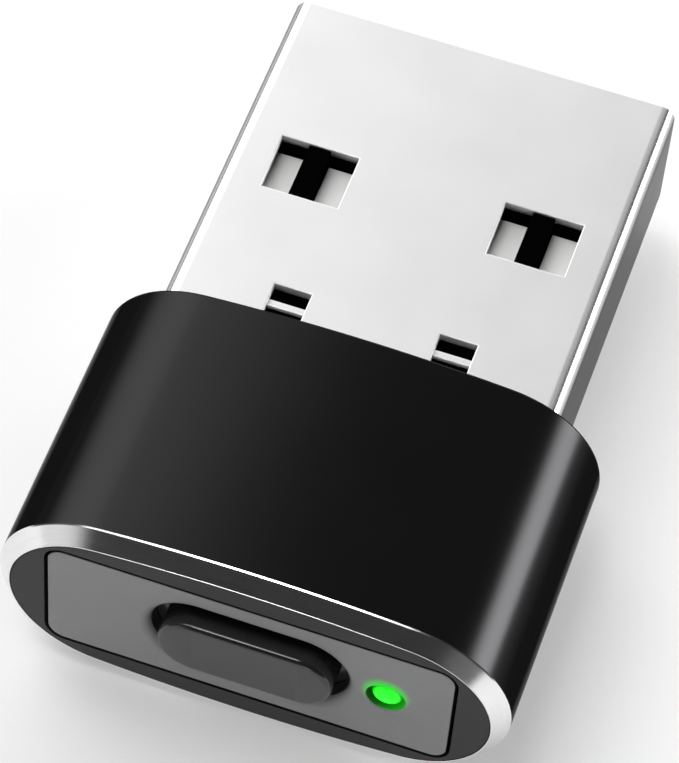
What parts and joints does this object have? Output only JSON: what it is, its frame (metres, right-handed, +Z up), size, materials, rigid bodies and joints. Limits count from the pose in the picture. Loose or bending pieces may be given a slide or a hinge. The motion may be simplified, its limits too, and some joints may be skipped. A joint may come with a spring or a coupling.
{
  "type": "mouse jiggler",
  "caption": "Short USB dongle in an oval metal sleeve, with a push button and a green status light on its rear end and a plug at the other.",
  "frame": {"origin": "under the middle of the whole part, on the surface that its broad face lies on", "axes": "+X across the width, +Y towards the tip of the plug, +Z up through the thickness"},
  "size_m": [0.015, 0.0216, 0.0068],
  "materials": {
    "sleeve": "black anodised, semi-gloss, with a bright cut edge",
    "black_plastic": "moulded satin",
    "carrier": "moulded satin",
    "panel": "fine satin",
    "button": "semi-gloss",
    "light_pipe": "clear green, lit",
    "plug_metal": "nickel plate, satin",
    "insulator": "natural nylon",
    "retainer": "moulded satin",
    "gold": "gold plated",
    "board": "solder mask",
    "tinned": "tinned",
    "stem": "moulded",
    "led": "clear lens on white package",
    "chip": "moulded epoxy",
    "ceramic": "sintered"
  },
  "bodies": {
    "housing": {"housing_sleeve": "sleeve", "front_collar": "black_plastic", "rear_carrier": "carrier", "rear_panel": "panel", "light_pipe": "light_pipe", "plug_shell": "plug_metal", "plug_insulator": "insulator", "contact_retainer": "retainer", "contact_1": "gold", "contact_2": "gold", "contact_3": "gold", "contact_4": "gold", "circuit_board": "board", "switch_frame": "black_plastic", "switch_cover": "tinned", "switch_terminals": "tinned", "snap_dome": "tinned", "status_led": "led", "controller_chip": "chip", "controller_leads": "tinned", "crystal": "tinned", "regulator": "chip", "resistors": "chip", "capacitors": "ceramic", "solder_joints": "tinned"},
    "button": {"button_cap": "button", "switch_stem": "stem"}
  },
  "joints": [
    {"name": "button_press", "type": "slide", "parent": "housing", "child": "button", "axis": [0, 1, 0], "range_m": [0, 0.00025], "stiffness_N_per_m": 4000, "springref_m": -0.0001, "deforming": ["snap_dome"]}
  ]
}
